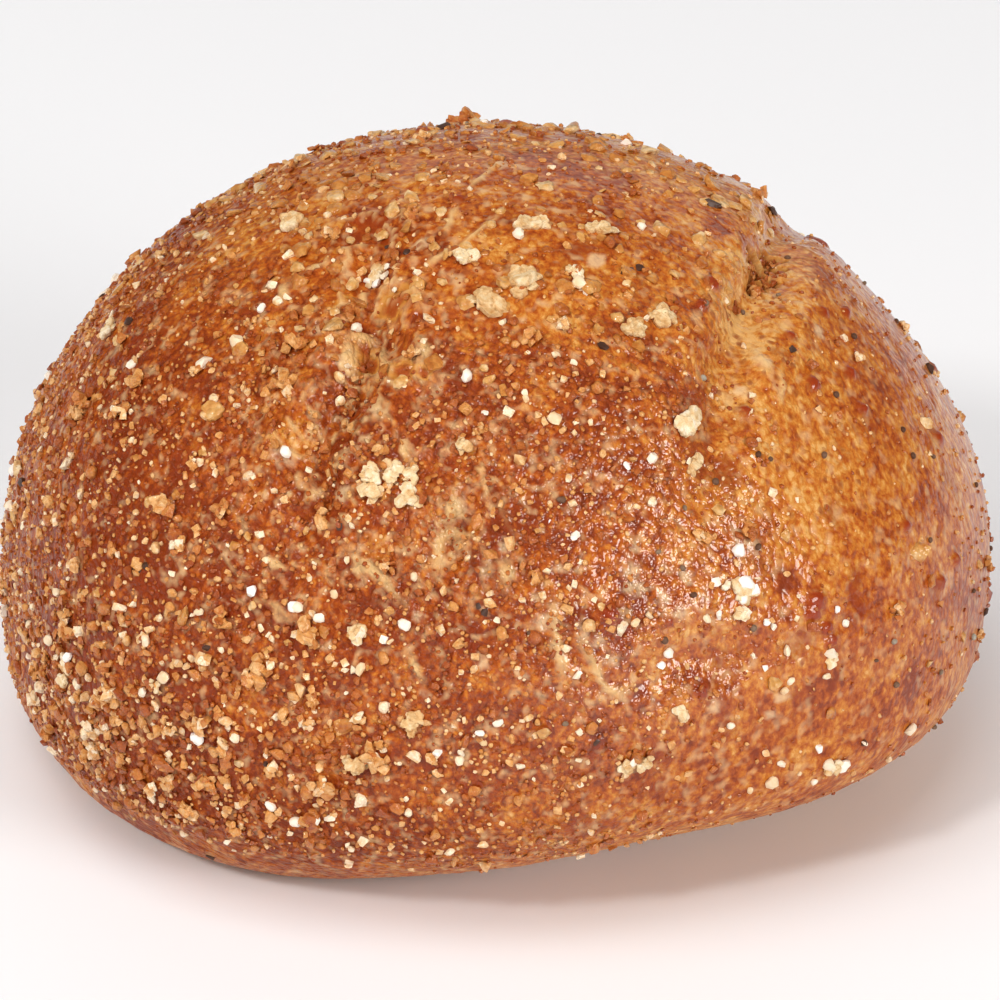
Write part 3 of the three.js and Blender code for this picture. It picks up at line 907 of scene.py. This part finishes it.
def make_bran_specks(seats, shapes, found):
    """Specks of scorched bran."""
    rng = np.random.default_rng(36)
    ways = spread(120, -10, rng)
    ways = ways[(rng.random(len(ways)) < 0.35) & unseen(ways)]
    ways, sizes = with_found(rng, ways, (0.8, 1.6), found, 0.75)
    tints = rng.random(len(ways))
    return scattered("bran_specks", seats, rng, ways, sizes, tints, shapes, (0.35, 0.6), 0.35, 42)


# Materials

def shade(code):
    """An sRGB hex colour as the linear colour that a shader takes."""
    channels = [int(code[i : i + 2], 16) / 255 for i in (1, 3, 5)]
    linear = [c / 12.92 if c <= 0.04045 else ((c + 0.055) / 1.055) ** 2.4 for c in channels]
    return (*linear, 1)


def per(size):
    """The scale of a pattern whose cells are this many mm, on coordinates in metres."""
    return 1000 / size


def add(tree, kind, settings):
    """Adds a node. Each setting is a property, a socket's value, or the output that feeds a socket."""
    made = tree.nodes.new("ShaderNode" + kind)
    for key, value in settings.items():
        if key == "stops":
            ramp = made.color_ramp.elements
            while len(ramp) < len(value):
                ramp.new(0.5)
            for element, (position, colour) in zip(ramp, value):
                element.position = position
                element.color = shade(colour)
        elif isinstance(value, bpy.types.NodeSocket):
            tree.links.new(value, made.inputs[key])
        elif isinstance(key, str) and hasattr(made, key):
            setattr(made, key, value)
        else:
            made.inputs[key].default_value = value
    return made


def new_material(name):
    material = bpy.data.materials.new(name)
    material.use_nodes = True
    tree = material.node_tree
    tree.nodes.clear()
    return material, tree


def finish_material(tree, settings):
    skin = add(tree, "BsdfPrincipled", settings)
    add(tree, "OutputMaterial", {"Surface": skin.outputs["BSDF"]})


# The crust's browns, from the least baked, and sizes in mm. The jitter of the places, and the two
# levels between which the glaze sets in, are in metres
CRUST_BROWNS = [(0, "#DDA864"), (0.22, "#CF8B3E"), (0.45, "#C07026"), (0.68, "#AB5218"), (1, "#82320E")]
LEAST_BROWNING = -1.28
BEAD_SIZE = 0.72
CRUMB_GRAIN_SIZE = 0.42
PLACE_JITTER = (0.0006, 0.0006, 0.0006)
BRUSHED_FROM = 0.008
BRUSHED_TO = 0.028


def glazed_crust():
    """Baked wheat crust under a brushed-on glaze: amber, browned on the high spots, and glossy."""
    material, tree = new_material("glazed_bread_crust")
    plain = add(tree, "TexCoord", {}).outputs["Object"]
    jitter = add(tree, "TexNoise", {"Vector": plain, "Scale": per(1.3), "Detail": 1}).outputs["Color"]
    push = {"operation": "MULTIPLY_ADD", 0: jitter, 1: PLACE_JITTER, 2: plain}
    where = add(tree, "VectorMath", push).outputs[0]
    drawn = add(tree, "Mapping", {"Vector": where, "Scale": (1, 1, 0.8)}).outputs["Vector"]
    field = {}
    names = ("coat", "bare", "browning", "blots", "veil", "lips", "tear", "pocket", "blister", "sole")
    for name in names:
        field[name] = add(tree, "Attribute", {"attribute_name": name}).outputs["Fac"]

    # The skin's small bumps, a little drawn out up the sides
    beads = add(tree, "TexVoronoi", {"Vector": drawn, "Scale": per(BEAD_SIZE)})
    bead = beads.outputs["Distance"]

    # How much each place is browned, with painted shade in the creases between the skin's beads
    middle = {"Vector": plain, "Scale": per(3.4), "Detail": 4, "Roughness": 0.65}
    patches = add(tree, "TexNoise", middle).outputs["Fac"]
    freckles = {"Vector": drawn, "Scale": per(0.7), "Detail": 3, "Roughness": 0.7}
    freckles = add(tree, "TexNoise", freckles).outputs["Fac"]
    browned = LEAST_BROWNING
    # The beads' share darkens the creases between them, where shade falls: painted shade
    for source, share in ((field["browning"], 1), (patches, 1.25), (freckles, 1.6), (bead, 0.5)):
        step = add(tree, "Math", {"operation": "MULTIPLY_ADD", 0: source, 1: share, 2: browned})
        browned = step.outputs[0]
    colour = add(tree, "ValToRGB", {"Fac": browned, "stops": CRUST_BROWNS}).outputs["Color"]

    # Pale grains that show through the skin, blots of red brown, and specks of bran
    veiled = add(tree, "TexNoise", {"Vector": plain, "Scale": per(1.3), "Detail": 1}).outputs["Fac"]
    pale = add(tree, "MapRange", {0: veiled, 1: 0.54, 2: 0.76, 4: 0.8}).outputs[0]
    crusted = add(tree, "MapRange", {0: field["coat"], 2: 0.6, 3: 0.6, 4: 0.85}).outputs[0]
    pale = add(tree, "Math", {"operation": "MULTIPLY", 0: pale, 1: crusted}).outputs[0]
    red = add(tree, "MapRange", {0: field["blots"], 1: 0.57, 2: 0.68, 4: 0.7}).outputs[0]
    number = add(tree, "SeparateColor", {"Color": beads.outputs["Color"]}).outputs[1]
    near = add(tree, "MapRange", {0: bead, 1: 0.65, 2: 0.25, 4: 0.75}).outputs[0]
    chosen = add(tree, "MapRange", {0: number, 1: 0.76, 2: 0.92}).outputs[0]
    bran = add(tree, "Math", {"operation": "MULTIPLY", 0: near, 1: chosen}).outputs[0]
    for share, tone in ((red, "#8C3410"), (pale, "#DDB482"), (field["veil"], "#DEBC92"), (bran, "#86300E")):
        mix = {"data_type": "RGBA", 0: share, 6: colour, 7: shade(tone)}
        colour = add(tree, "Mix", mix).outputs[2]

    # Places that the shape sets apart: golden pockets with a ruddy middle, pale ragged lips, red
    # blisters, the tear's open crumb and the floury sole
    grain = add(tree, "TexVoronoi", {"Vector": where, "Scale": per(CRUMB_GRAIN_SIZE)}).outputs["Distance"]
    crumb = {"data_type": "RGBA", 0: grain, 6: shade("#4A1D08"), 7: shade("#A4642C")}
    flour = {"data_type": "RGBA", 0: patches, 6: shade("#A65A24"), 7: shade("#CC8E4C")}
    golden = add(tree, "MapRange", {0: field["pocket"], 1: 0.05, 2: 0.3, 4: 0.85}).outputs[0]
    ruddy = add(tree, "MapRange", {0: field["pocket"], 1: 0.45, 2: 0.95, 4: 0.85}).outputs[0]
    places = (
        (golden, shade("#CC8A3C")),
        (ruddy, shade("#9A3C16")),
        (field["lips"], shade("#E0B87E")),
        (field["blister"], shade("#93340F")),
        (field["tear"], add(tree, "Mix", crumb).outputs[2]),
        (field["sole"], add(tree, "Mix", flour).outputs[2]),
    )
    for share, tone in places:
        colour = add(tree, "Mix", {"data_type": "RGBA", 0: share, 6: colour, 7: tone}).outputs[2]

    # Round beads and grains too fine for the mesh, which the glaze levels in places
    round_bead = add(tree, "Math", {"operation": "MULTIPLY", 0: bead, 1: bead}).outputs[0]
    round_grain = add(tree, "Math", {"operation": "MULTIPLY", 0: grain, 1: grain}).outputs[0]
    grit = {"operation": "MULTIPLY_ADD", 0: round_grain, 1: 0.35, 2: round_bead}
    grit = add(tree, "Math", grit).outputs[0]
    levelled = add(tree, "MapRange", {0: field["blots"], 1: 0.36, 2: 0.54, 3: 0.5, 4: 1}).outputs[0]
    strength = add(tree, "MapRange", {0: field["bare"], 1: 0.55, 2: 1, 3: 1, 4: 0.32}).outputs[0]
    strength = add(tree, "Math", {"operation": "MULTIPLY", 0: strength, 1: levelled}).outputs[0]
    bumps = {"invert": True, "Strength": strength, "Distance": 0.0004, "Height": grit}
    bumps = add(tree, "Bump", bumps).outputs["Normal"]
    glints = {"invert": True, "Strength": strength, "Distance": 0.0002, "Height": grit}
    glints = add(tree, "Bump", glints).outputs["Normal"]

    # The glaze is brushed on above the skirt, thinner where the skin is bare, and soaks into the coat
    dry = add(tree, "Math", {"operation": "MAXIMUM", 0: field["tear"], 1: field["sole"]}).outputs[0]
    gloss = add(tree, "MapRange", {0: patches, 1: 0.3, 2: 0.7, 3: 0.28, 4: 0.42}).outputs[0]
    rough = add(tree, "Mix", {0: dry, 2: gloss, 3: 0.85}).outputs[0]
    level = add(tree, "SeparateXYZ", {"Vector": plain}).outputs["Z"]
    brushed = {0: level, 1: BRUSHED_FROM, 2: BRUSHED_TO, 3: 0.05, 4: 0.9}
    brushed = add(tree, "MapRange", brushed).outputs[0]
    thin = add(tree, "MapRange", {0: field["bare"], 1: 0.6, 2: 1, 3: 1, 4: 0.6}).outputs[0]
    brushed = add(tree, "Math", {"operation": "MULTIPLY", 0: brushed, 1: thin}).outputs[0]
    soaked = add(tree, "MapRange", {0: field["coat"], 1: 0.5, 2: 1, 3: 1, 4: 0.3}).outputs[0]
    brushed = add(tree, "Math", {"operation": "MULTIPLY", 0: brushed, 1: soaked}).outputs[0]
    glaze = add(tree, "Mix", {0: dry, 2: brushed, 3: 0}).outputs[0]
    finish_material(tree, {
        "Base Color": colour, "Roughness": rough, "IOR": 1.45, "Specular IOR Level": 0.12, "Normal": bumps,
        "Coat Weight": glaze, "Coat Roughness": 0.08, "Coat IOR": 1.55, "Coat Normal": glints,
    })
    return material


def toned(tree, where, stops, size, detail, swing, shift, tint_share=1):
    """A colour along the stops, by each copy's own tint and by soft spots of this size in mm."""
    tint = add(tree, "Attribute", {"attribute_name": "tint"}).outputs["Fac"]
    mottle = add(tree, "TexNoise", {"Vector": where, "Scale": per(size), "Detail": detail}).outputs["Fac"]
    tone = {"operation": "MULTIPLY_ADD", 0: mottle, 1: swing, 2: shift}
    tone = add(tree, "Math", tone).outputs[0]
    tone = {"operation": "MULTIPLY_ADD", 0: tint, 1: tint_share, 2: tone, "use_clamp": True}
    tone = add(tree, "Math", tone).outputs[0]
    return add(tree, "ValToRGB", {"Fac": tone, "stops": stops}).outputs["Color"]


def toasted_kernel():
    """Cracked wheat and rye, toasted: mealy break faces from cream to nut brown, a touch of glaze."""
    material, tree = new_material("toasted_cracked_grain")
    where = add(tree, "TexCoord", {}).outputs["Object"]
    stops = [(0, "#98461A"), (0.3, "#B8682C"), (0.6, "#D2924E"), (0.82, "#E8B980"), (1, "#F8E4C4")]
    colour = toned(tree, where, stops, 0.7, 3, 0.8, -0.4)
    meal = add(tree, "TexNoise", {"Vector": where, "Scale": per(0.28), "Detail": 1}).outputs["Fac"]
    bump = add(tree, "Bump", {"Strength": 1, "Distance": 0.0002, "Height": meal}).outputs["Normal"]
    finish_material(tree, {
        "Base Color": colour, "Roughness": 0.5, "IOR": 1.45, "Specular IOR Level": 0.3, "Normal": bump,
        "Coat Weight": 0.6, "Coat Roughness": 0.12, "Coat Normal": bump,
    })
    return material


def glazed_crumb():
    """Bread crumbs under the glaze: the crust's amber and red brown, shiny."""
    material, tree = new_material("glazed_bread_crumb")
    where = add(tree, "TexCoord", {}).outputs["Object"]
    stops = [(0, "#94400F"), (0.3, "#B05C20"), (0.58, "#C8823E"), (0.8, "#DDA868"), (1, "#F0CFA4")]
    colour = toned(tree, where, stops, 3.4, 2, -1.4, 0.6)
    finish_material(tree, {
        "Base Color": colour, "Roughness": 0.4, "IOR": 1.45, "Specular IOR Level": 0.2,
        "Coat Weight": 0.9, "Coat Roughness": 0.06,
    })
    return material


def glazed_flake():
    """Flakes and grain under the glaze: tan to amber, paler at the heart, glossy."""
    material, tree = new_material("glazed_grain_flake")
    where = add(tree, "TexCoord", {}).outputs["Object"]
    stops = [(0, "#A2541C"), (0.35, "#BE7A36"), (0.7, "#D09A56"), (1, "#E4C290")]
    colour = toned(tree, where, stops, 1.1, 4, 1.6, -0.8)
    meal = add(tree, "TexVoronoi", {"Vector": where, "Scale": per(0.5)}).outputs["Distance"]
    bump = {"invert": True, "Strength": 1, "Distance": 0.00016, "Height": meal}
    bump = add(tree, "Bump", bump).outputs["Normal"]
    finish_material(tree, {
        "Base Color": colour, "Roughness": 0.4, "IOR": 1.45, "Specular IOR Level": 0.25, "Normal": bump,
        "Coat Weight": 0.8, "Coat Roughness": 0.1, "Coat Normal": bump,
    })
    return material


def rolled_oat():
    """Rolled oats, baked dry: cream and matte, tanned at the thin edges."""
    material, tree = new_material("rolled_oat_flake")
    where = add(tree, "TexCoord", {}).outputs["Object"]
    stops = [(0, "#BC8448"), (0.3, "#D8AE78"), (0.62, "#E8CEA2"), (1, "#FBF1DE")]
    colour = toned(tree, where, stops, 0.6, 4, 1.3, -0.5, 0.55)
    meal = add(tree, "TexNoise", {"Vector": where, "Scale": per(0.3), "Detail": 3}).outputs["Fac"]
    bump = add(tree, "Bump", {"Strength": 1, "Distance": 0.0002, "Height": meal}).outputs["Normal"]
    finish_material(tree, {"Base Color": colour, "Roughness": 0.65, "IOR": 1.4, "Normal": bump})
    return material


def white_grit():
    """Hard oat and rice grits: nearly white, with a dull broken face."""
    material, tree = new_material("white_grain_grit")
    where = add(tree, "TexCoord", {}).outputs["Object"]
    stops = [(0, "#E4C294"), (0.3, "#F0DDBE"), (1, "#FAF5EE")]
    colour = toned(tree, where, stops, 0.7, 2, 0.7, -0.35)
    finish_material(tree, {"Base Color": colour, "Roughness": 0.5, "IOR": 1.45, "Coat Weight": 0.15})
    return material


def poppy_seed():
    """Baked poppy seeds: dark brown, a few of them grey, and dull, with a fine net of ridges."""
    material, tree = new_material("baked_poppy_seed")
    where = add(tree, "TexCoord", {}).outputs["Object"]
    tint = add(tree, "Attribute", {"attribute_name": "tint"}).outputs["Fac"]
    stops = [(0, "#523222"), (0.6, "#6A4C3A"), (0.9, "#86705C"), (1, "#B0AEA0")]
    colour = add(tree, "ValToRGB", {"Fac": tint, "stops": stops}).outputs["Color"]
    net = add(tree, "TexVoronoi", {"Vector": where, "Scale": per(0.22)}).outputs["Distance"]
    bump = add(tree, "Bump", {"Strength": 0.6, "Distance": 0.00004, "Height": net}).outputs["Normal"]
    finish_material(tree, {
        "Base Color": colour, "Roughness": 0.5, "IOR": 1.45, "Specular IOR Level": 0.3, "Normal": bump,
    })
    return material


def burnt_bran():
    """Scorched bran: nearly black brown, dull."""
    material, tree = new_material("burnt_bran_speck")
    where = add(tree, "TexCoord", {}).outputs["Object"]
    mottle = add(tree, "TexNoise", {"Vector": where, "Scale": per(0.6), "Detail": 2}).outputs["Fac"]
    mix = {"data_type": "RGBA", 0: mottle, 6: shade("#2C1A14"), 7: shade("#5C3A2A")}
    colour = add(tree, "Mix", mix).outputs[2]
    finish_material(tree, {"Base Color": colour, "Roughness": 0.45, "IOR": 1.45})
    return material


def studio_card():
    """Matte white studio card, spread under the roll."""
    material, tree = new_material("matte_white_card")
    finish_material(tree, {"Base Color": shade("#F5F8FE"), "Roughness": 0.9, "Specular IOR Level": 0.2})
    return material


# Building the roll

def clothe(piece, material):
    piece.data.materials.clear()
    piece.data.materials.append(material)
    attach(piece, "root")


def spare_blisters(rng):
    """More blisters where the photo can't see, mostly on the bare right and back."""
    ways = spread(150, -12, rng)
    drawn = rng.random(len(ways)) < 0.45 * (1 - coat_strength(ways)) + 0.06
    return [(way, rng.uniform(1.1, 2.0)) for way in ways[drawn & unseen(ways, 0.2)]]


def build_roll():
    tree = solid_tree()
    rng = np.random.default_rng(30)
    blisters = found_in_photo(BLISTERS, tree) + spare_blisters(rng)
    tears = found_in_photo(TEARS, tree)
    pockets = found_in_photo(SKIN_POCKETS, tree)
    veiled = found_in_photo(VEILED_FLAKES, tree)
    ridges = [(directions_at(line, tree), half_width) for line, half_width in RIDGES]
    crust = make_crust(blisters, tears, pockets, veiled, ridges, found_in_photo(TONES, tree))
    clothe(crust, glazed_crust())
    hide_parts("bread_roll")

    seats = Seats(crust)
    kernels = [chip_shape(rng, 9) for _ in range(12)]
    bran = [chip_shape(rng, 6) for _ in range(12)]
    lumps = [lump_shape(rng, 2, 0.5, 0.45) for _ in range(9)]
    beads = [lump_shape(rng, 1, 0.4, 0.5) for _ in range(9)]
    grits = [lump_shape(rng, 2, 0.45, 0.6) for _ in range(9)]
    plates = [plate_shape(rng) for _ in range(9)]
    seeds = [lump_shape(rng, 2, 0.12, 0.6) for _ in range(3)]
    kernel = toasted_kernel()
    clothe(make_coarse_grain(seats, kernels), kernel)
    clothe(make_cracked_grain(seats, kernels + grits, tears), kernel)
    clothe(make_toasted_crumbs(seats, bran, tears), kernel)
    clothe(make_glazed_crumbs(seats, beads, tears), glazed_crumb())
    clothe(make_glazed_lumps(seats, plates[:4] + lumps + kernels, tears), glazed_flake())
    clothe(make_oat_flakes(seats, plates + kernels[:5]), rolled_oat())
    clothe(make_white_grits(seats, grits + kernels[:4], found_in_photo(WHITE_GRITS, tree)), white_grit())
    clothe(make_poppy_seeds(seats, seeds, found_in_photo(POPPY_SEEDS, tree)), poppy_seed())
    clothe(make_bran_specks(seats, kernels, found_in_photo(BRAN_SPECKS, tree)), burnt_bran())


# Studio

def make_floor():
    floor = new_primitive(bpy.ops.mesh.primitive_plane_add, "studio_floor", size=6)
    floor.data.materials.append(studio_card())


WARM_WHITE = (1, 0.96, 0.912)
WORLD_STRENGTH = 0.16
LIGHTS_AIM = Vector((0, 0, 0.03))

# Azimuth in degrees to the right of the camera, elevation, distance, width, height, power, and
# whether the light shows in the glaze
LIGHTS = {
    "key_softbox": (45, 21, 1.3, 0.52, 0.42, 10, True),
    "kicker": (-38, 40, 1.3, 0.15, 0.15, 4.8, True),
    "left_softbox": (-68, 28, 1.3, 0.8, 0.6, 5.1, False),
    "top_softbox": (-30, 68, 1.4, 1, 0.8, 8, False),
    "back_softbox": (180, 22, 1.6, 2, 0.7, 5, False),
    "rim_softbox": (165, 26, 1.6, 1.7, 0.7, 2.6, True),
}


def area_light(name, azimuth, elevation, distance, width, height, power, mirrored):
    """A rectangular light that faces the roll."""
    turn = math.radians(azimuth - 90)
    lift = math.radians(elevation)
    ahead = Vector((math.cos(lift) * math.cos(turn), math.cos(lift) * math.sin(turn), math.sin(lift)))
    lamp = bpy.data.lights.new(name, "AREA")
    lamp.shape = "RECTANGLE"
    lamp.size = width
    lamp.size_y = height
    lamp.energy = power
    lamp.color = WARM_WHITE
    holder = bpy.data.objects.new(name, lamp)
    holder.location = LIGHTS_AIM + ahead * distance
    holder.rotation_euler = ahead.to_track_quat("Z", "Y").to_euler()
    holder.visible_glossy = mirrored
    bpy.context.scene.collection.objects.link(holder)


def make_lights():
    """A key, a kicker and a rim light that show in the glaze, and soft fill from the other sides."""
    world = bpy.data.worlds.new("white_studio")
    world.use_nodes = True
    background = world.node_tree.nodes["Background"]
    background.inputs["Color"].default_value = (*WARM_WHITE, 1)
    background.inputs["Strength"].default_value = WORLD_STRENGTH
    bpy.context.scene.world = world
    for name, settings in LIGHTS.items():
        area_light(name, *settings)


def make_camera():
    lens = bpy.data.cameras.new("photo_camera")
    lens.sensor_width = SENSOR_MM
    lens.lens = FOCAL_PIXELS / PHOTO_PIXELS * SENSOR_MM
    lens.clip_start = 0.01
    camera = bpy.data.objects.new("photo_camera", lens)
    right, up, back = view_axes()
    turned = Matrix((right, up, back)).transposed().to_4x4()
    camera.matrix_world = Matrix.Translation(camera_place() * MM) @ turned
    bpy.context.scene.collection.objects.link(camera)
    bpy.context.scene.camera = camera


build_roll()
make_floor()
make_lights()
make_camera()
bpy.context.scene.view_settings.view_transform = "Standard"
